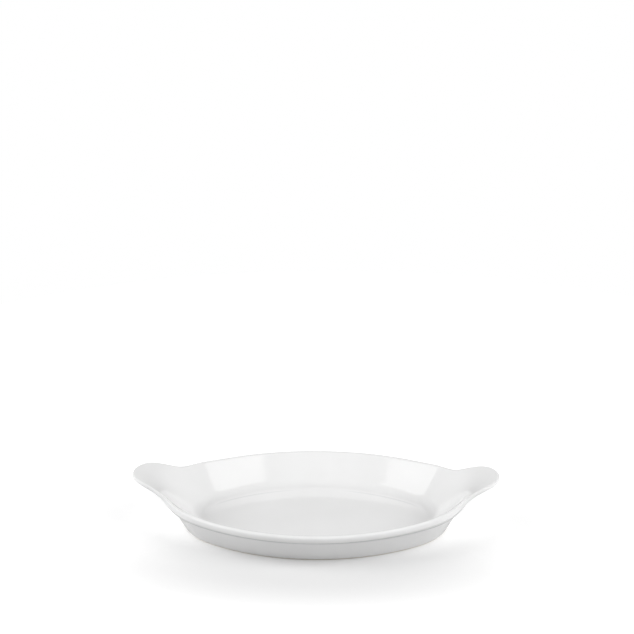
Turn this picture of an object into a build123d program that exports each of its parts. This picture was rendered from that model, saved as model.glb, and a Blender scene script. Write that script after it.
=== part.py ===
from build123d import *

import os
from math import asin, atan2, cos, degrees, radians, sin, tan

# An oval gratin dish with two ears, in glazed white ceramic, in millimetres.
# X runs over the ears, Y across the bowl and Z up from the table. The origin is under the bowl's middle.
# One section of the wall is revolved about the oval's arcs as a wide brim, and the eared outline trims it.

# Plan over the glaze: an oval rim, and a round-tipped ear swept out of each end.
# The ears' tip and flank radii are shares of the length, and an oval's end radius of its half width.
length_over_ears = 232
width_over_rim = 125
ear_tip_share = 0.082
ear_flank_share = 0.18
end_radius_share = 0.764

# Plan: how far the flare oval, where the inside wall turns outward, lies inside the tips and the rim
ear_reach = 22
rim_reach = 1.0

# Inside surface: a sloping wall that levels off along the ears
brim_height = 23.4
wall_slope = 46.8
tip_slope = 7.7
floor_height = 4.6
floor_corner_radius = 11

# Rolled rim and the underside of the ears
bead_drop = 7.2
bead_overhang = 1.9
root_thickness = 4.5
tip_thickness = 3.3
bead_top_radius = 1.9
bead_low_radius = 1.0
bead_belly_radius = 1.4
undercut_radius = 0.5

# Foot ring
foot_setback = 10.5
foot_width = 3.4
foot_flank_slope = 60
foot_edge_radius = 0.6
recess_depth = 1.6
bare_foot_height = 0.9

# Glaze: a skin over all but the foot ring, and a panel in the recess that stops short of the ring
glaze_thickness = 0.3
wiped_margin = 0.5

# How far hidden sides run past the faces that end them, and how upright a trimmed side's face is
overrun = 1.0
upright = 0.001

ear_tip_radius = ear_tip_share * length_over_ears
ear_flank_radius = ear_flank_share * length_over_ears
tip_centre = length_over_ears / 2 - ear_tip_radius
flare_a = length_over_ears / 2 - ear_reach
flare_b = width_over_rim / 2 - rim_reach
bead_bottom = brim_height - bead_drop
slope = radians(wall_slope)
outer_slope = atan2(bead_bottom, foot_setback - bead_overhang)
flank_slope = radians(foot_flank_slope)
flare_radius = ear_reach / (sin(slope) - sin(radians(tip_slope)))


def flare_point(angle, depth):
    """A point of the section, out from the flare oval and up, where the ear's top slopes by an angle."""
    across = flare_radius * sin(slope) - (flare_radius - depth) * sin(angle)
    height = brim_height - flare_radius * cos(slope) + (flare_radius - depth) * cos(angle)
    return across, height


def wall_point(height, depth):
    """A point of the inside wall's section at a height, so far under the glazed face."""
    edge_x, edge_z = flare_point(slope, depth)
    return edge_x - (edge_z - height) / tan(slope), height


def outer_point(height, depth):
    """A point of the outside wall's section at a height, so far under the glazed face."""
    return height / tan(outer_slope) - depth / sin(outer_slope) - foot_setback, height


def flank_point(height, setback):
    """A point of the foot ring's inner side at a height, so far in from the foot's outer edge."""
    return -foot_setback - setback - height / tan(flank_slope), height


def wall_section(skin, hidden_side):
    """The wall's section: inside face, flaring top, ear's underside, bead, outside face and hidden side."""
    flare_end = asin(sin(slope) - (ear_reach + overrun) / flare_radius)
    wall_foot = wall_point(floor_height - skin - overrun, skin)
    under_root = flare_point(slope, root_thickness - skin)
    under_tip = flare_point(flare_end, tip_thickness - skin)
    belly = wall_point(bead_bottom + skin, root_thickness - skin)
    undercut = outer_point(bead_bottom + skin, skin)
    with BuildSketch() as section:
        with BuildLine():
            wall = Line(wall_foot, flare_point(slope, skin))
            flare_middle = flare_point((slope + flare_end) / 2, skin)
            flare = ThreePointArc(wall @ 1, flare_middle, flare_point(flare_end, skin))
            Line(flare @ 1, under_tip)
            TangentArc(under_root, under_tip, tangent=(cos(slope), sin(slope)))
            Polyline(under_root, belly, undercut, outer_point(-overrun, skin), *hidden_side, wall_foot)
        make_face()
        fillet(section.vertices().sort_by_distance(belly)[0], bead_belly_radius - skin)
        fillet(section.vertices().sort_by_distance(undercut)[0], undercut_radius + skin)
    return section.sketch


def oval_arcs(half_length, half_width):
    """An oval's end radius, its side radius, and the direction in which the two arcs meet."""
    end_radius = end_radius_share * half_width
    along = half_length - end_radius
    across = half_width - end_radius
    side_radius = end_radius + (along**2 + across**2) / (2 * across)
    return end_radius, side_radius, degrees(atan2(side_radius - half_width, along))


def oval(half_length, half_width, setback):
    """An oval's plan, so far inside the oval of these half sizes."""
    end_radius, side_radius, meeting = oval_arcs(half_length, half_width)
    with BuildSketch() as plan:
        with BuildLine():
            CenterArc((0, half_width - side_radius), side_radius - setback, meeting, 90 - meeting)
            CenterArc((half_length - end_radius, 0), end_radius - setback, 0, meeting)
            mirror(about=Plane.XZ)
            mirror(about=Plane.YZ)
        make_face()
    return plan.sketch


def rim_outline(skin):
    """The eared outline, so far inside the glazed edge: the rim's oval swept into two round-tipped ears."""
    with BuildSketch() as outline:
        add(oval(tip_centre, width_over_rim / 2, skin))
        with Locations((tip_centre, 0), (-tip_centre, 0)):
            Circle(ear_tip_radius - skin)
        off_axis = [corner for corner in outline.vertices() if abs(corner.Y) > upright]
        off_axis.sort(key=lambda corner: abs(corner.X))
        fillet(off_axis[-4:], ear_flank_radius + skin)
    return outline.sketch


def trimmed_sides(form):
    """The upright faces that the outline leaves round the rim."""
    rim_faces = [face for face in form.faces() if face.center().Z > bead_bottom]
    return [face for face in rim_faces if abs(face.normal_at().Z) < upright]


def dish_form(skin, bottom, plug_bottom, hidden_side):
    """The dish, so far inside the glazed surface, above a level; hidden_side closes the wall's section."""
    section = wall_section(skin, hidden_side)
    end_radius, side_radius, meeting = oval_arcs(flare_a, flare_b)
    end_axis = Axis((flare_a - end_radius, 0, 0), (0, 0, 1))
    side_axis = Axis((0, flare_b - side_radius, 0), (0, 0, -1))
    floor_level = floor_height - skin
    with BuildPart() as form:
        # One quarter is revolved, from each end towards where the arcs meet, and mirrored twice
        with BuildSketch(Plane((flare_a, 0, 0), x_dir=(1, 0, 0), z_dir=(0, -1, 0))):
            add(section)
        revolve(axis=end_axis, revolution_arc=meeting)
        with BuildSketch(Plane((0, flare_b, 0), x_dir=(0, 1, 0), z_dir=(1, 0, 0))):
            add(section)
        revolve(axis=side_axis, revolution_arc=90 - meeting)
        mirror(about=Plane.XZ)
        mirror(about=Plane.YZ)

        # The floor fills the ring out to the middle of its wall, and a wide cove joins them
        with BuildSketch(Plane.XY.offset(plug_bottom)):
            add(oval(flare_a, flare_b, (foot_setback - wall_point(floor_level, skin)[0]) / 2))
        extrude(amount=floor_level - plug_bottom)
        floor_edges = form.edges().filter_by_position(Axis.Z, floor_level, floor_level)
        fillet(floor_edges, floor_corner_radius + skin)

        # The outline trims the brim to the rim and its two ears, and the edge is rolled over
        with BuildSketch(Plane.XY.offset(bottom)):
            add(rim_outline(skin))
        extrude(amount=brim_height + flare_radius, mode=Mode.INTERSECT)
        fillet([side.edges().sort_by(Axis.Z)[-1] for side in trimmed_sides(form)], bead_top_radius - skin)
        fillet([side.edges().sort_by(Axis.Z)[0] for side in trimmed_sides(form)], bead_low_radius - skin)
    return form.part


os.makedirs("parts", exist_ok=True)

# Fired clay body, bare on its foot ring
flank = [flank_point(-overrun, foot_width), flank_point(recess_depth + overrun, foot_width)]
clay_form = dish_form(glaze_thickness, 0, recess_depth, flank)
with BuildPart() as clay_body:
    add(clay_form)
    fillet(clay_body.edges().filter_by_position(Axis.Z, 0, 0), foot_edge_radius)
clay_body.part.label = "clay_body"
export_step(clay_body.part, "parts/clay_body.step")

# Main glaze: the glazed form less the clay. Its hidden side lies within the foot and the floor.
half_foot = foot_width / 2
hidden = [flank_point(-overrun, half_foot), flank_point(recess_depth + overrun, half_foot)]
glazed_form = dish_form(0, bare_foot_height, recess_depth + overrun, hidden)
with BuildPart() as glaze_coat:
    add(glazed_form)
    add(clay_body.part, mode=Mode.SUBTRACT)
glaze_coat.part.label = "glaze_coat"
export_step(glaze_coat.part, "parts/glaze_coat.step")

# Glaze panel in the recess inside the foot ring
panel_setback = wiped_margin - flank_point(recess_depth, foot_width)[0]
with BuildPart() as base_glaze:
    with BuildSketch(Plane.XY.offset(recess_depth)):
        add(oval(flare_a, flare_b, panel_setback))
    extrude(amount=-glaze_thickness)
base_glaze.part.label = "base_glaze"
export_step(base_glaze.part, "parts/base_glaze.step")
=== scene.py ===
from math import acos, atan, atan2, cos, pi, radians, sin, tan

import bpy
import numpy as np
from mathutils import Matrix, Vector


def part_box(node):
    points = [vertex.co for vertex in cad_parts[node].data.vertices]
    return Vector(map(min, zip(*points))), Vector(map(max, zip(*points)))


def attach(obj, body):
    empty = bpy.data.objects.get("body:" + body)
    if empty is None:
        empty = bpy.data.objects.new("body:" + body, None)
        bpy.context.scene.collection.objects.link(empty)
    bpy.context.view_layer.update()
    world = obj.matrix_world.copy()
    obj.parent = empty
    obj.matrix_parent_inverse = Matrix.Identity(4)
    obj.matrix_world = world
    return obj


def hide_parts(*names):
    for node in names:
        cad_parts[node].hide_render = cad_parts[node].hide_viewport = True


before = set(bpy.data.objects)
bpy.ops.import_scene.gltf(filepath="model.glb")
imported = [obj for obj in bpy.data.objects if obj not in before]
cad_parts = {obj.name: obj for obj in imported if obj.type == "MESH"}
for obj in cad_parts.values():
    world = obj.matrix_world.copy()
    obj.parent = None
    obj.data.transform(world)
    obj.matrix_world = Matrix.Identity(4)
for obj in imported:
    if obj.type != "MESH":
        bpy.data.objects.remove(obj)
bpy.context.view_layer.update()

# Sizes are in millimetres, as in the CAD source, and become metres where a mesh is made.
# X runs over the ears, Y across the bowl and Z up. In the wall's section, s is the distance outside the
# flare oval, where the inside wall turns outward, and a depth is measured square to the glazed face.
MM = 0.001
glaze_low, glaze_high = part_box("glaze_coat")
HALF_LENGTH = (glaze_high[0] - glaze_low[0]) / 2 / MM
HALF_WIDTH = (glaze_high[1] - glaze_low[1]) / 2 / MM
EAR_TIP_SHARE = 0.082
EAR_FLANK_SHARE = 0.18
EAR_TIP_RADIUS = EAR_TIP_SHARE * 2 * HALF_LENGTH
EAR_FLANK_RADIUS = EAR_FLANK_SHARE * 2 * HALF_LENGTH
END_RADIUS_SHARE = 0.764
EAR_REACH = 22.0
RIM_REACH = 1.0

# TIP_SLOPE is less than the solids', so that the ears level off as in the photograph
BRIM_HEIGHT = 23.4
WALL_SLOPE = radians(46.8)
TIP_SLOPE = radians(1)
FLARE_START = 2.0
FLOOR_HEIGHT = 4.6
FLOOR_CORNER_RADIUS = 11.0

BEAD_BOTTOM = 16.2
BEAD_OVERHANG = 1.9
ROOT_THICKNESS = 4.5
BELLY_RADIUS = 1.4
UNDERCUT_RADIUS = 0.4

FOOT_SETBACK = 10.5
FOOT_WIDTH = 3.4
FOOT_FLANK_SLOPE = radians(60)
FOOT_EDGE_RADIUS = 0.6
RECESS_DEPTH = 1.6
RECESS_CORNER_RADIUS = 0.8
RECESS_FLOOR_RUN = 2
BARE_FOOT_HEIGHT = 0.9

GLAZE_THICKNESS = 0.3
GLAZE_PARTING = 0.01
WIPED_MARGIN = 0.5
PANEL_EDGE_SHARE = 2.5
PANEL_RING_RUN = 1

# Painted shade: the glaze's colour is greyer in tight hollows, and in a band under the bead, where shade
# falls
TIGHT_HOLLOW_RADIUS = 2.5
PAINTED_SHADE_BAND_LEVEL = 1.4
PAINTED_SHADE_BAND_REACH = 2.2

# The rolled edge is full along the sides and thins towards the ears' tips
ROLL_SIDES = 2.0
ROLL_TIPS = 1.25
LOW_ROLL_SIDES = 3.2
LOW_ROLL_TIPS = 1.0
TIP_THICKNESS = 2.6
THINNED_BY = 8.0
THINNING_START = 60.0
THINNING_END = 100.0
LOW_THINNING_START = 25.0
LOW_THINNING_END = 80.0

# Fineness of the meshes, and how far curvature is softened where arcs and lines meet
QUARTER_COLUMNS = 136
PLAN_SOFTNESS = 4.0
SECTION_SOFTNESS = 0.9
PATH_STEP = 0.02
FACE_PASSES = 12
INSIDE_ROWS = 46
FLARE_ROWS = 22
TOP_ROLL_ROWS = 14
LOW_ROLL_ROWS = 9
UNDERSIDE_ROWS = 14
WALL_ROW_GAP = 1.0
FOOT_ROW_GAP = 0.8
FLOOR_RINGS = 14
BASE_RINGS = 10
PANEL_TOP_RINGS = 6

FLARE_A = HALF_LENGTH - EAR_REACH
FLARE_B = HALF_WIDTH - RIM_REACH
FLARE_RADIUS = (EAR_REACH - FLARE_START) / (sin(WALL_SLOPE) - sin(TIP_SLOPE))
WALL_FOOT_S = -(BRIM_HEIGHT - FLOOR_HEIGHT) / tan(WALL_SLOPE)
OUTER_SLOPE = atan2(BEAD_BOTTOM, FOOT_SETBACK - BEAD_OVERHANG)


# Curves of the section and the plan


def smooth_step(x):
    """0 below 0, 1 above 1, and an S curve between."""
    x = np.clip(x, 0, 1)
    return x * x * (3 - 2 * x)


def soft_path(pieces, softness, step):
    """Run and turned angle along a path of (length, curvature) pieces whose curvature changes softly."""
    ends = np.cumsum([length for length, _ in pieces])
    bends = np.array([bend for _, bend in pieces])
    run = np.arange(0, ends[-1] + step, step)
    curvature = bends[np.searchsorted(ends, run, side="right").clip(0, len(pieces) - 1)]
    reach = int(4 * softness / step)
    window = np.exp(-0.5 * (np.arange(-reach, reach + 1) * step / softness) ** 2)
    padded = np.pad(curvature, reach, mode="symmetric")
    soft = np.convolve(padded, window / window.sum(), mode="valid")
    turned = np.concatenate([[0], np.cumsum((soft[1:] + soft[:-1]) / 2) * step])
    return run, turned


def walked(turned, step):
    """Points of a path that starts along its first axis, from the angle that it has turned at each step."""
    middle = (turned[1:] + turned[:-1]) / 2
    along = np.concatenate([[0], np.cumsum(np.cos(middle)) * step])
    aside = np.concatenate([[0], np.cumsum(np.sin(middle)) * step])
    return along, aside


class Profile:
    """A face of the wall's section: its height and slope against s."""

    def __init__(self, s, z, slope):
        self.s = s
        self.z = z
        self.slope = slope

    def at(self, s, depth):
        """Height and slope, at s, of the face that lies so far under this one; above it if negative."""
        base = s
        for _ in range(FACE_PASSES):
            slope = np.interp(base, self.s, self.slope)
            base = s - depth * np.sin(slope)
        return np.interp(base, self.s, self.z) - depth * np.cos(slope), slope


def inside_profile():
    """The inside: floor, cove and wall, then the flare, which levels off at the ears' tips."""
    floor_length = 20.0
    past_tip = 4.0
    cove_length = FLOOR_CORNER_RADIUS * WALL_SLOPE
    rise = BRIM_HEIGHT - FLOOR_HEIGHT - FLOOR_CORNER_RADIUS * (1 - cos(WALL_SLOPE))
    wall_length = rise / sin(WALL_SLOPE)
    pieces = [
        (floor_length, 0),
        (cove_length, 1 / FLOOR_CORNER_RADIUS),
        (wall_length + FLARE_START / cos(WALL_SLOPE), 0),
        (FLARE_RADIUS * (WALL_SLOPE - TIP_SLOPE), -1 / FLARE_RADIUS),
        (past_tip, 0),
    ]
    run, slope = soft_path(pieces, SECTION_SOFTNESS, PATH_STEP)
    s, z = walked(slope, PATH_STEP)
    # The middle of the wall is where the sharp section has it
    mark = np.argmin(abs(run - floor_length - cove_length - wall_length / 2))
    s += -wall_length / 2 * cos(WALL_SLOPE) - s[mark]
    z += BRIM_HEIGHT - wall_length / 2 * sin(WALL_SLOPE) - z[mark]
    return Profile(s, z, slope)


def underside_profile():
    """The underside, out from the bead's belly: its depth below the top shrinks under the ears."""
    before_root = 6
    past_tip = 3
    s = np.arange(-before_root, EAR_REACH + past_tip, PATH_STEP)
    thickness = ROOT_THICKNESS + (TIP_THICKNESS - ROOT_THICKNESS) * smooth_step(s / THINNED_BY)
    z = INSIDE.at(s, thickness)[0]
    return Profile(s, z, np.arctan(np.gradient(z, s)))


def oval_arcs(half_length, half_width):
    """An oval's end radius, its side radius, and the direction in which the two arcs meet."""
    end_radius = END_RADIUS_SHARE * half_width
    along = half_length - end_radius
    across = half_width - end_radius
    side_radius = end_radius + (along**2 + across**2) / (2 * across)
    return end_radius, side_radius, atan2(side_radius - half_width, along)


def plan_quarter(pieces, half_length, half_width):
    """Points and outward normals of a quarter of a plan curve, from +Y round to +X."""
    mirrored = pieces[::-1] + pieces + pieces[::-1]
    _, turned = soft_path(mirrored, PLAN_SOFTNESS, PATH_STEP)
    length = sum(piece for piece, _ in pieces)
    first = int(round(length / PATH_STEP))
    last = int(round(2 * length / PATH_STEP))
    turned = turned[first:last + 1] - turned[first]
    turned *= (pi / 2) / turned[-1]
    x, drop = walked(turned, PATH_STEP)
    y = drop[-1] - drop
    points = np.c_[x * half_length / x[-1], y * half_width / y[0]]
    return points, np.c_[np.sin(turned), np.cos(turned)]


def flare_quarter():
    """The flare oval: a side arc and an end arc."""
    end_radius, side_radius, meeting = oval_arcs(FLARE_A, FLARE_B)
    pieces = [(side_radius * (pi / 2 - meeting), 1 / side_radius), (end_radius * meeting, 1 / end_radius)]
    return plan_quarter(pieces, FLARE_A, FLARE_B)


def rim_quarter():
    """The eared outline: the rim oval's side arc and part of its end arc, a hollow flank and the tip."""
    rim_length = HALF_LENGTH - EAR_TIP_RADIUS
    end_radius, side_radius, meeting = oval_arcs(rim_length, HALF_WIDTH)
    apart = end_radius
    from_end = end_radius + EAR_FLANK_RADIUS
    from_tip = EAR_TIP_RADIUS + EAR_FLANK_RADIUS
    leaves_end = acos((from_end**2 + apart**2 - from_tip**2) / (2 * from_end * apart))
    meets_tip = pi - acos((from_tip**2 + apart**2 - from_end**2) / (2 * from_tip * apart))
    pieces = [
        (side_radius * (pi / 2 - meeting), 1 / side_radius),
        (end_radius * (meeting - leaves_end), 1 / end_radius),
        (EAR_FLANK_RADIUS * (meets_tip - leaves_end), -1 / EAR_FLANK_RADIUS),
        (EAR_TIP_RADIUS * meets_tip, 1 / EAR_TIP_RADIUS),
    ]
    return plan_quarter(pieces, HALF_LENGTH, HALF_WIDTH)


INSIDE = inside_profile()
UNDERSIDE = underside_profile()


# The columns: one section of the dish at each station of the rim


def four_quarters(points, vectors):
    """A quarter's points and vectors, from +Y to +X, carried on to the whole loop."""
    loops = []
    for quarter in (points, vectors):
        half = np.concatenate([quarter, (quarter * [1, -1])[-2::-1]])
        loops.append(np.concatenate([half, (half * [-1, 1])[-2:0:-1]]))
    return loops


def nearest_on_flare(places):
    """For each place, the flare oval's point that faces it, the normal there and the distance out."""
    table, normals = flare_quarter()
    flipped = np.abs(places)
    signs = np.where(places < 0, -1.0, 1.0)
    apart = np.hypot(table[None, :, 0] - flipped[:, None, 0], table[None, :, 1] - flipped[:, None, 1])
    nearest = apart.argmin(axis=1)
    foot = table[nearest]
    normal = normals[nearest]
    out = ((flipped - foot) * normal).sum(axis=1)
    foot = flipped - out[:, None] * normal
    return foot * signs, normal * signs, out


def stations():
    """Points and outward normals of the rim at every column."""
    points, normals = rim_quarter()
    picks = np.linspace(0, len(points) - 1, QUARTER_COLUMNS + 1).round().astype(int)
    return four_quarters(points[picks], normals[picks])


RIM, RIM_NORMAL = stations()
THINNING = smooth_step((abs(RIM[:, 0]) - THINNING_START) / (THINNING_END - THINNING_START))
LOW_THINNING = smooth_step((abs(RIM[:, 0]) - LOW_THINNING_START) / (LOW_THINNING_END - LOW_THINNING_START))
ROLL = ROLL_SIDES + (ROLL_TIPS - ROLL_SIDES) * THINNING
LOW_ROLL = LOW_ROLL_SIDES + (LOW_ROLL_TIPS - LOW_ROLL_SIDES) * LOW_THINNING

TOP_PLAN = RIM - ROLL[:, None] * RIM_NORMAL
TOP_FOOT, TOP_OUT, TOP_S = nearest_on_flare(TOP_PLAN)
TOP_Z, TOP_TILT = INSIDE.at(TOP_S, ROLL)

LOW_PLAN = RIM - LOW_ROLL[:, None] * RIM_NORMAL
LOW_FOOT, LOW_OUT, LOW_S = nearest_on_flare(LOW_PLAN)
LOW_Z, LOW_TILT = UNDERSIDE.at(LOW_S, -LOW_ROLL)


def joined(plan, height):
    """Plan points and heights as points of space."""
    return np.concatenate([plan, np.broadcast_to(height, plan.shape[:1])[:, None]], axis=1)


def roll(centres, radius, start, end, count):
    """Rows of points on the balls that roll round the rim, from one direction to another."""
    between = np.arccos(np.clip((start * end).sum(axis=1), -1, 1))[:, None]
    rows = []
    for share in np.linspace(0, 1, count):
        blend = np.sin((1 - share) * between) * start + np.sin(share * between) * end
        direction = blend / np.sin(between)
        rows.append(centres + np.reshape(radius, (-1, 1)) * direction)
    return rows


def along_section(foot, out, places):
    """Rows at fixed places (s, z) of the section."""
    return [joined(foot + s * out, z) for s, z in places]


def rounded(corners, steps=6):
    """The points of a section whose corners (s, z, radius) are rounded off."""
    places = [corners[0][:2]]
    for before, corner, after in zip(corners, corners[1:], corners[2:]):
        here = np.array(corner[:2])
        back = np.array(before[:2]) - here
        ahead = np.array(after[:2]) - here
        back /= np.hypot(*back)
        ahead /= np.hypot(*ahead)
        if corner[2] == 0:
            places.append(tuple(here))
            continue
        half = np.arccos(np.clip(back @ ahead, -1, 1)) / 2
        bisector = back + ahead
        centre = here + bisector / np.hypot(*bisector) * corner[2] / sin(half)
        start = here + back * corner[2] / tan(half) - centre
        end = here + ahead * corner[2] / tan(half) - centre
        swing = np.arccos(np.clip(start @ end / corner[2] ** 2, -1, 1))
        for share in np.linspace(0, 1, steps):
            spoke = (sin((1 - share) * swing) * start + sin(share * swing) * end) / sin(swing)
            places.append(tuple(centre + spoke))
    places.append(tuple(corners[-1][:2]))
    return places


def filled_in(places, gap):
    """The same section with points added where two lie further apart than the gap."""
    full = [places[0]]
    for place in places[1:]:
        pieces = max(1, int(np.ceil(np.hypot(place[0] - full[-1][0], place[1] - full[-1][1]) / gap)))
        start = np.array(full[-1])
        for piece in range(1, pieces + 1):
            full.append(tuple(start + (np.array(place) - start) * piece / pieces))
    return full


def outer_wall_place(height, depth):
    """A place on the outside wall's face at a height, so far under the glazed face."""
    return height / tan(OUTER_SLOPE) - depth / sin(OUTER_SLOPE) - FOOT_SETBACK, height


def flank_place(height):
    """A place on the foot ring's inner side at a height."""
    return -FOOT_SETBACK - FOOT_WIDTH - height / tan(FOOT_FLANK_SLOPE), height


def inside_rows(depth):
    """Rows from the floor's edge up the inside to the top roll, at a depth."""
    contact = TOP_S - (ROLL - depth) * np.sin(TOP_TILT)
    floor_edge = WALL_FOOT_S - FLOOR_CORNER_RADIUS * tan(WALL_SLOPE / 2) - 2 * SECTION_SOFTNESS
    wall_top = -2 * ROLL_SIDES
    fixed = np.linspace(floor_edge, wall_top, INSIDE_ROWS)
    rows = along_section(TOP_FOOT, TOP_OUT, [(s, INSIDE.at(s, depth)[0]) for s in fixed])
    for share in np.linspace(0, 1, FLARE_ROWS)[1:-1]:
        s = wall_top + (contact - wall_top) * share
        rows.append(joined(TOP_FOOT + s[:, None] * TOP_OUT, INSIDE.at(s, depth)[0]))
    return rows


def rim_rows(depth):
    """Rows round the rolled edge, from its top contact to its low contact, at a depth."""
    upward = np.concatenate([-np.sin(TOP_TILT)[:, None] * TOP_OUT, np.cos(TOP_TILT)[:, None]], axis=1)
    outward = np.concatenate([RIM_NORMAL, np.zeros((len(RIM), 1))], axis=1)
    downward = np.concatenate([np.sin(LOW_TILT)[:, None] * LOW_OUT, -np.cos(LOW_TILT)[:, None]], axis=1)
    rows = roll(joined(TOP_PLAN, TOP_Z), ROLL - depth, upward, outward, TOP_ROLL_ROWS)
    rows += roll(joined(LOW_PLAN, LOW_Z), LOW_ROLL - depth, outward, downward, LOW_ROLL_ROWS)
    return rows


def under_rows(depth, wall_end):
    """Rows from the low roll in under the ear, round the bead's belly and down the outside wall."""
    contact = LOW_S + (LOW_ROLL - depth) * np.sin(LOW_TILT)
    level = BEAD_BOTTOM + depth
    belly_s = (level - UNDERSIDE.at(0, -depth)[0]) / tan(WALL_SLOPE)
    belly = (belly_s, level, BELLY_RADIUS - depth)
    approach = (belly_s + cos(WALL_SLOPE), level + sin(WALL_SLOPE))
    undercut = outer_wall_place(level, depth) + (UNDERCUT_RADIUS + depth,)
    places = filled_in(rounded([approach, belly, undercut, wall_end])[1:], WALL_ROW_GAP)
    rows = []
    for share in np.linspace(0, 1, UNDERSIDE_ROWS)[1:-1]:
        s = contact + (places[0][0] - contact) * share
        rows.append(joined(LOW_FOOT + s[:, None] * LOW_OUT, UNDERSIDE.at(s, -depth)[0]))
    return rows + along_section(LOW_FOOT, LOW_OUT, places)


def inner_rings(first, count):
    """Rows that shrink a level row towards the middle."""
    return [first * [share, share, 1] for share in np.linspace(1, 0, count + 1)[1:-1]]


# Meshes of the three pieces


def grid_mesh(name, rows, closed_start, closed_end):
    """A mesh of closed rows; a row at either end can be capped by a point in its middle."""
    columns = len(rows[0])
    vertices = np.concatenate(rows)
    quads = []
    for row in range(len(rows) - 1):
        low = row * columns
        high = low + columns
        for column in range(columns):
            beside = (column + 1) % columns
            quads.append((low + column, low + beside, high + beside, high + column))
    caps = []
    if closed_start:
        caps.append((len(vertices), 0, True))
        vertices = np.concatenate([vertices, [rows[0].mean(axis=0)]])
    if closed_end:
        caps.append((len(vertices), (len(rows) - 1) * columns, False))
        vertices = np.concatenate([vertices, [rows[-1].mean(axis=0)]])
    for middle, base, is_start in caps:
        for column in range(columns):
            beside = (column + 1) % columns
            if is_start:
                quads.append((middle, base + beside, base + column))
            else:
                quads.append((middle, base + column, base + beside))
    mesh = bpy.data.meshes.new(name)
    mesh.from_pydata((vertices * MM).tolist(), [], quads)
    mesh.validate()
    mesh.shade_smooth()
    return mesh


def placed(name, mesh, material):
    """An object of the mesh, linked and painted."""
    piece = bpy.data.objects.new(name, mesh)
    mesh.materials.append(material)
    bpy.context.scene.collection.objects.link(piece)
    return piece


def paint(mesh, name, values):
    """A value at each vertex, for the material to read."""
    attribute = mesh.attributes.new(name, "FLOAT", "POINT")
    attribute.data.foreach_set("value", np.asarray(values, dtype=np.float32))


def hollowness(rows, tight_radius):
    """1 where the section is as hollow as the tight radius, -1 where it is as crowned, 0 where flat."""
    stack = np.stack(rows)
    ahead = np.diff(stack, axis=0)
    length = np.linalg.norm(ahead, axis=2)
    direction = ahead / np.maximum(length, 1e-6)[..., None]
    turn = np.linalg.norm(np.diff(direction, axis=0), axis=2)
    spacing = (length[1:] + length[:-1]) / 2
    bend = turn / np.maximum(spacing, 1e-3)
    around = np.roll(stack, -1, axis=1) - np.roll(stack, 1, axis=1)
    face = np.cross(around[1:-1], direction[1:] + direction[:-1])
    sign = np.sign((face * np.diff(direction, axis=0)).sum(axis=2))
    signed = np.pad(bend * sign * tight_radius, ((1, 1), (0, 0)), mode="edge")
    return np.clip(signed, -1, 1)


def glaze_mesh():
    """The main coat: the glazed face, and the face fused to the clay, closed just above the foot."""
    edge_outer = outer_wall_place(BARE_FOOT_HEIGHT + GLAZE_THICKNESS, 0)
    edge_inner = outer_wall_place(BARE_FOOT_HEIGHT, GLAZE_THICKNESS)
    faces = []
    for depth, end in ((0, edge_outer), (GLAZE_THICKNESS - GLAZE_PARTING, edge_inner)):
        inside = inside_rows(depth)
        floor = inner_rings(inside[0], FLOOR_RINGS)[::-1]
        faces.append(floor + inside + rim_rows(depth) + under_rows(depth, end))
    outer, inner = faces
    lip = []
    for share in (0.25, 0.5, 0.75):
        turned = share * pi / 2
        lip_s = edge_inner[0] + (edge_outer[0] - edge_inner[0]) * cos(turned)
        lip_z = edge_outer[1] + (edge_inner[1] - edge_outer[1]) * sin(turned)
        lip.append((lip_s, lip_z))
    rows = outer + along_section(LOW_FOOT, LOW_OUT, lip) + inner[::-1]
    mesh = grid_mesh("dish_glaze", rows, True, True)
    # A band under the bead is greyer too, as painted shade that deepens the dark line of shadow there
    apart = abs(np.stack(outer)[..., 2] - BEAD_BOTTOM)
    painted_shade_band = np.clip(PAINTED_SHADE_BAND_LEVEL - PAINTED_SHADE_BAND_LEVEL * apart / PAINTED_SHADE_BAND_REACH, 0, 1)
    painted_shade_band[:-len(under_rows(0, edge_outer))] = 0
    hollow = np.maximum(hollowness(outer, TIGHT_HOLLOW_RADIUS), painted_shade_band)
    values = np.zeros(len(mesh.vertices))
    values[:hollow.size] = hollow.ravel()
    paint(mesh, "hollow", values)
    return mesh


def clay_mesh():
    """The fired body: the same faces under the glaze, and the bare foot ring and recess."""
    depth = GLAZE_THICKNESS
    wall_end = outer_wall_place(BARE_FOOT_HEIGHT, depth)
    foot = [
        wall_end,
        outer_wall_place(0, depth) + (FOOT_EDGE_RADIUS,),
        flank_place(0) + (FOOT_EDGE_RADIUS,),
        flank_place(RECESS_DEPTH) + (RECESS_CORNER_RADIUS,),
        (flank_place(RECESS_DEPTH)[0] - RECESS_FLOOR_RUN, RECESS_DEPTH),
    ]
    inside = inside_rows(depth)
    floor = inner_rings(inside[0], FLOOR_RINGS)[::-1]
    rows = floor + inside + rim_rows(depth) + under_rows(depth, wall_end)
    rows += along_section(LOW_FOOT, LOW_OUT, filled_in(rounded(foot), FOOT_ROW_GAP)[1:])
    rows += inner_rings(rows[-1], BASE_RINGS)
    return grid_mesh("dish_clay", rows, True, True)


def base_glaze_mesh():
    """The glaze panel in the recess, with a soft edge where the ring was wiped."""
    edge = flank_place(RECESS_DEPTH)[0] - WIPED_MARGIN
    low = RECESS_DEPTH - GLAZE_THICKNESS
    soft = GLAZE_THICKNESS * PANEL_EDGE_SHARE
    top = [(edge, RECESS_DEPTH)]
    for share in (0.15, 0.35, 0.6, 0.8, 1):
        top.append((edge - soft * share, RECESS_DEPTH - GLAZE_THICKNESS * sin(share * pi / 2)))
    rows = along_section(LOW_FOOT, LOW_OUT, top)
    rows += inner_rings(joined(LOW_FOOT + (edge - soft - PANEL_RING_RUN) * LOW_OUT, low), BASE_RINGS)
    upper = along_section(LOW_FOOT, LOW_OUT, [(edge, RECESS_DEPTH)])[0]
    rows = inner_rings(upper, PANEL_TOP_RINGS)[::-1] + rows
    return grid_mesh("base_glaze_panel", rows, True, True)


# Materials


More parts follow.
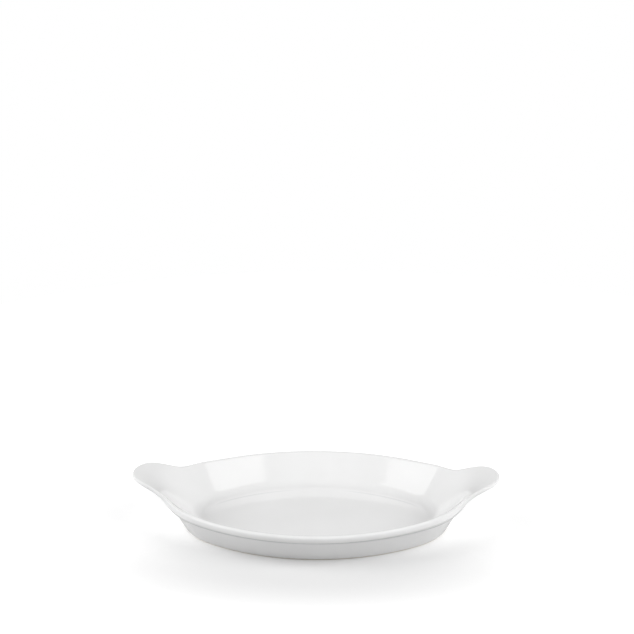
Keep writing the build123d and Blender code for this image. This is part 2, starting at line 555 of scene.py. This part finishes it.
def material_with(name):
    """A new node material: its nodes, links and main shader."""
    material = bpy.data.materials.new(name)
    material.use_nodes = True
    nodes = material.node_tree.nodes
    return material, nodes, material.node_tree.links, nodes["Principled BSDF"]


def noise(nodes, links, scale, detail=4.0, roughness=0.5):
    """A noise texture in the object's own metres."""
    place = nodes.new("ShaderNodeTexCoord")
    texture = nodes.new("ShaderNodeTexNoise")
    texture.inputs["Scale"].default_value = scale
    texture.inputs["Detail"].default_value = detail
    texture.inputs["Roughness"].default_value = roughness
    links.new(place.outputs["Object"], texture.inputs["Vector"])
    return texture.outputs["Fac"]


def ramp(nodes, links, value, stops):
    """A colour ramp over (position, colour) stops."""
    node = nodes.new("ShaderNodeValToRGB")
    links.new(value, node.inputs["Fac"])
    elements = node.color_ramp.elements
    while len(elements) < len(stops):
        elements.new(0.5)
    for element, (position, colour) in zip(elements, stops):
        element.position = position
        element.color = (*colour, 1)
    return node.outputs["Color"]


def blended(nodes, links, factor, first, second):
    """Two colours mixed by a factor."""
    node = nodes.new("ShaderNodeMix")
    node.data_type = "RGBA"
    links.new(factor, node.inputs["Factor"])
    links.new(first, node.inputs["A"])
    links.new(second, node.inputs["B"])
    return node.outputs["Result"]


def bumped(nodes, links, height, strength, distance, below=None):
    """A bump of a height, in metres, on top of another."""
    node = nodes.new("ShaderNodeBump")
    node.inputs["Strength"].default_value = strength
    node.inputs["Distance"].default_value = distance
    links.new(height, node.inputs["Height"])
    if below:
        links.new(below, node.inputs["Normal"])
    return node.outputs["Normal"]


def glaze_material():
    """Glossy white glaze: greyer in hollows and under the bead as painted shade, a touch warmer on edges,
    faintly uneven, with rare specks.
    """
    material, nodes, links, shader = material_with("white_glaze")
    drift = noise(nodes, links, 28.0)
    even = ramp(nodes, links, drift, [(0.35, (0.855, 0.855, 0.853)), (0.65, (0.875, 0.875, 0.874))])
    # The greyer colour is painted shade, for the tight hollows and the band under the bead
    painted_shade = ramp(nodes, links, drift, [(0.35, (0.63, 0.64, 0.64)), (0.65, (0.67, 0.68, 0.68))])
    edge = ramp(nodes, links, drift, [(0.35, (0.85, 0.845, 0.835)), (0.65, (0.868, 0.864, 0.856))])
    hollow = nodes.new("ShaderNodeAttribute")
    hollow.attribute_name = "hollow"
    painted_shade_amount = nodes.new("ShaderNodeMapRange")
    painted_shade_amount.inputs["From Min"].default_value = 0.3
    painted_shade_amount.inputs["From Max"].default_value = 1.0
    links.new(hollow.outputs["Fac"], painted_shade_amount.inputs["Value"])
    onto = nodes.new("ShaderNodeMapRange")
    onto.inputs["From Min"].default_value = -0.3
    onto.inputs["From Max"].default_value = -1.0
    links.new(hollow.outputs["Fac"], onto.inputs["Value"])
    colour = blended(nodes, links, painted_shade_amount.outputs["Result"], even, painted_shade)
    colour = blended(nodes, links, onto.outputs["Result"], colour, edge)
    specks = nodes.new("ShaderNodeTexVoronoi")
    specks.inputs["Scale"].default_value = 120.0
    place = nodes.new("ShaderNodeTexCoord")
    links.new(place.outputs["Object"], specks.inputs["Vector"])
    speck_mask = ramp(nodes, links, specks.outputs["Distance"], [(0.0, (1, 1, 1)), (0.035, (0, 0, 0))])
    rare = ramp(nodes, links, noise(nodes, links, 60.0, 2.0), [(0.64, (0, 0, 0)), (0.7, (1, 1, 1))])
    speck = nodes.new("ShaderNodeMath")
    speck.operation = "MULTIPLY"
    links.new(speck_mask, speck.inputs[0])
    links.new(rare, speck.inputs[1])
    speck_colour = ramp(nodes, links, drift, [(0.4, (0.42, 0.36, 0.3)), (0.6, (0.55, 0.5, 0.44))])
    colour = blended(nodes, links, speck.outputs["Value"], colour, speck_colour)
    links.new(colour, shader.inputs["Base Color"])
    patches = noise(nodes, links, 90.0)
    gloss = ramp(nodes, links, patches, [(0.3, (0.05, 0.05, 0.05)), (0.7, (0.09, 0.09, 0.09))])
    links.new(gloss, shader.inputs["Roughness"])
    shader.inputs["IOR"].default_value = 1.5
    waves = bumped(nodes, links, noise(nodes, links, 45.0, 1.0), 0.25, 0.0006)
    pits = bumped(nodes, links, noise(nodes, links, 900.0, 2.0), 0.04, 0.0001, waves)
    links.new(pits, shader.inputs["Normal"])
    return material


def clay_material():
    """Bare fired clay: matte off-white, finely grained, with small dark grains and open pores."""
    material, nodes, links, shader = material_with("fired_clay")
    drift = noise(nodes, links, 60.0, 6.0)
    body = ramp(nodes, links, drift, [(0.3, (0.72, 0.67, 0.58)), (0.7, (0.8, 0.76, 0.68))])
    grain = noise(nodes, links, 2200.0, 3.0, 0.7)
    dark = ramp(nodes, links, grain, [(0.62, (0, 0, 0)), (0.72, (1, 1, 1))])
    dark_colour = ramp(nodes, links, drift, [(0.3, (0.45, 0.38, 0.3)), (0.7, (0.55, 0.48, 0.4))])
    colour = blended(nodes, links, dark, body, dark_colour)
    links.new(colour, shader.inputs["Base Color"])
    rough = ramp(nodes, links, drift, [(0.3, (0.78, 0.78, 0.78)), (0.7, (0.9, 0.9, 0.9))])
    links.new(rough, shader.inputs["Roughness"])
    pores = bumped(nodes, links, grain, 0.5, 0.00015)
    links.new(pores, shader.inputs["Normal"])
    return material


GLAZE = glaze_material()
CLAY = clay_material()

dish_glaze = placed("dish_glaze", glaze_mesh(), GLAZE)
dish_clay = placed("dish_clay", clay_mesh(), CLAY)
base_glaze_panel = placed("base_glaze_panel", base_glaze_mesh(), GLAZE)

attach(dish_glaze, "root")
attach(dish_clay, "root")
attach(base_glaze_panel, "root")
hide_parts("glaze_coat")
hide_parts("clay_body")
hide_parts("base_glaze")


# Floor, world and lamps

FLOOR_RADIUS = 0.5
FLOOR_COLOUR = (0.68, 0.68, 0.68, 1)

# The floor's glow to the camera rises with the distance, in metres, from a place in front of the dish; the
# weaker glow close round the dish is a painted shadow, added to the lamps' real shadow there
GLOW_STRETCH = (0.41, 0.99, 1.0)
GLOW_SHIFT = (0.0, 0.06, 0.0)
GLOW_START = 0.015
GLOW_END = 0.075
NEAR_GLOW = 0.14
FAR_GLOW = 0.49

AMBIENT = 0.168

# The tent's bright sides, which light the dish but don't show in its gloss: direction, sharpness, level
TENT = [
    ((0, -0.75, 0.66), 2, 0.05),
    ((-1, 0, 0.1), 4, 1.96),
    ((1, 0, 0.1), 4, 1.76),
]

# What the gloss shows in place of the bright sides: a wide panel over the camera
GLOSS_PANEL = ((0, -0.5, 0.87), 4, 1.65)

# The lamps: name, place, size and power, and whether the gloss shows them
LAMPS = [
    ("right_softbox", (0.604, -0.299, 1.0), (0.505, 0.36), 1.2, True),
    ("left_softbox", (-0.81, -0.145, 1.0), (0.56, 0.5), 2.0, True),
    ("right_panel", (1.15, -0.35, 0.75), (0.8, 0.5), 8.0, False),
    ("left_panel", (-1.2, -0.1, 0.7), (0.8, 0.5), 6.2, False),
]
LAMP_TARGET = Vector((0, 0, 0.02))


def studio_floor():
    """A pale round floor that glows to the camera: white away from the dish, and darker close round it,
    where a painted shadow adds to the real one.
    """
    material, nodes, links, shader = material_with("studio_floor")
    nodes.remove(shader)
    diffuse = nodes.new("ShaderNodeBsdfDiffuse")
    diffuse.inputs["Color"].default_value = FLOOR_COLOUR
    place = nodes.new("ShaderNodeTexCoord")
    stretched = nodes.new("ShaderNodeVectorMath")
    stretched.operation = "MULTIPLY_ADD"
    stretched.inputs[1].default_value = GLOW_STRETCH
    stretched.inputs[2].default_value = GLOW_SHIFT
    links.new(place.outputs["Object"], stretched.inputs[0])
    distance = nodes.new("ShaderNodeVectorMath")
    distance.operation = "LENGTH"
    links.new(stretched.outputs["Vector"], distance.inputs[0])
    level = nodes.new("ShaderNodeMapRange")
    level.interpolation_type = "SMOOTHSTEP"
    level.inputs["From Min"].default_value = GLOW_START
    level.inputs["From Max"].default_value = GLOW_END
    level.inputs["To Min"].default_value = NEAR_GLOW
    level.inputs["To Max"].default_value = FAR_GLOW
    links.new(distance.outputs["Value"], level.inputs["Value"])
    rays = nodes.new("ShaderNodeLightPath")
    strength = nodes.new("ShaderNodeMath")
    strength.operation = "MULTIPLY"
    links.new(level.outputs["Result"], strength.inputs[0])
    links.new(rays.outputs["Is Camera Ray"], strength.inputs[1])
    glow = nodes.new("ShaderNodeEmission")
    links.new(strength.outputs["Value"], glow.inputs["Strength"])
    both = nodes.new("ShaderNodeAddShader")
    links.new(diffuse.outputs["BSDF"], both.inputs[0])
    links.new(glow.outputs["Emission"], both.inputs[1])
    links.new(both.outputs["Shader"], nodes["Material Output"].inputs["Surface"])
    mesh = bpy.data.meshes.new("studio_floor")
    corners = 96
    turns = [2 * pi * corner / corners for corner in range(corners)]
    ring = [(FLOOR_RADIUS * cos(turn), FLOOR_RADIUS * sin(turn), 0) for turn in turns]
    mesh.from_pydata(ring, [], [range(corners)])
    return placed("studio_floor", mesh, material)


def lobe(nodes, links, direction, sharpness, level):
    """Light from round a direction: full level along it, fading to none square to it."""
    place = nodes.new("ShaderNodeTexCoord")
    toward = nodes.new("ShaderNodeVectorMath")
    toward.operation = "DOT_PRODUCT"
    toward.inputs[1].default_value = Vector(direction).normalized()
    links.new(place.outputs["Generated"], toward.inputs[0])
    facing = nodes.new("ShaderNodeMath")
    facing.operation = "MAXIMUM"
    facing.inputs[1].default_value = 0.0
    links.new(toward.outputs["Value"], facing.inputs[0])
    narrowed = nodes.new("ShaderNodeMath")
    narrowed.operation = "POWER"
    narrowed.inputs[1].default_value = sharpness
    links.new(facing.outputs["Value"], narrowed.inputs[0])
    scaled = nodes.new("ShaderNodeMath")
    scaled.operation = "MULTIPLY"
    scaled.inputs[1].default_value = level
    links.new(narrowed.outputs["Value"], scaled.inputs[0])
    return scaled.outputs["Value"]


def added(nodes, links, first, second):
    """The sum of two values."""
    node = nodes.new("ShaderNodeMath")
    links.new(first, node.inputs[0])
    links.new(second, node.inputs[1])
    return node.outputs["Value"]


def studio_world():
    """A soft tent of light, brighter from some sides than from others, and white to the camera."""
    world = bpy.data.worlds.new("studio")
    world.use_nodes = True
    nodes = world.node_tree.nodes
    links = world.node_tree.links
    background = nodes["Background"]
    background.inputs["Color"].default_value = (1, 1, 1, 1)
    tent = lobe(nodes, links, *TENT[0])
    for each in TENT[1:]:
        tent = added(nodes, links, tent, lobe(nodes, links, *each))
    rays = nodes.new("ShaderNodeLightPath")
    total = nodes.new("ShaderNodeMix")
    links.new(rays.outputs["Is Glossy Ray"], total.inputs["Factor"])
    links.new(tent, total.inputs["A"])
    links.new(lobe(nodes, links, *GLOSS_PANEL), total.inputs["B"])
    raised = nodes.new("ShaderNodeMath")
    raised.inputs[1].default_value = AMBIENT
    links.new(total.outputs["Result"], raised.inputs[0])
    strength = nodes.new("ShaderNodeMix")
    strength.inputs["B"].default_value = 1.0
    links.new(rays.outputs["Is Camera Ray"], strength.inputs["Factor"])
    links.new(raised.outputs["Value"], strength.inputs["A"])
    links.new(strength.outputs["Result"], background.inputs["Strength"])
    bpy.context.scene.world = world


def softbox(name, place, size, power, in_gloss):
    """A rectangular lamp that looks at the dish, and shows in its gloss or not."""
    light = bpy.data.lights.new(name, "AREA")
    light.shape = "RECTANGLE"
    light.size, light.size_y = size
    light.energy = power
    lamp = bpy.data.objects.new(name, light)
    lamp.location = place
    lamp.visible_glossy = in_gloss
    lamp.rotation_euler = (LAMP_TARGET - Vector(place)).to_track_quat("-Z", "Y").to_euler()
    bpy.context.scene.collection.objects.link(lamp)


studio_floor()
studio_world()
for lamp in LAMPS:
    softbox(*lamp)


# Camera

CAMERA_ELEVATION = radians(27.211)
CAMERA_YAW = radians(-3.174)
CAMERA_ROLL = radians(-0.655)
CAMERA_DISTANCE = 1.081704
FOCAL_PIXELS = 1679.654
IMAGE_PIXELS = 634
ORIGIN_PIXEL = (313.146, 521.694)
SENSOR_MM = 36.0


def add_camera():
    """The camera, placed by where the dish's origin falls in the picture."""
    aside = atan((ORIGIN_PIXEL[0] - IMAGE_PIXELS / 2) / FOCAL_PIXELS)
    look_down = CAMERA_ELEVATION - atan((ORIGIN_PIXEL[1] - IMAGE_PIXELS / 2) / FOCAL_PIXELS)
    forward = Vector((-sin(aside) * cos(look_down), cos(aside) * cos(look_down), -sin(look_down)))
    level = forward.cross(Vector((0, 0, 1))).normalized()
    upright = level.cross(forward)
    right = cos(CAMERA_ROLL) * level + sin(CAMERA_ROLL) * upright
    up = cos(CAMERA_ROLL) * upright - sin(CAMERA_ROLL) * level
    place = CAMERA_DISTANCE * Vector((0, -cos(CAMERA_ELEVATION), sin(CAMERA_ELEVATION)))
    axes = Matrix((right, up, -forward)).transposed().to_4x4()
    data = bpy.data.cameras.new("camera")
    data.sensor_width = SENSOR_MM
    data.lens = FOCAL_PIXELS * SENSOR_MM / IMAGE_PIXELS
    camera = bpy.data.objects.new("camera", data)
    camera.matrix_world = Matrix.Rotation(-CAMERA_YAW, 4, "Z") @ Matrix.Translation(place) @ axes
    bpy.context.scene.collection.objects.link(camera)
    bpy.context.scene.camera = camera


add_camera()
bpy.context.scene.view_settings.view_transform = "Standard"
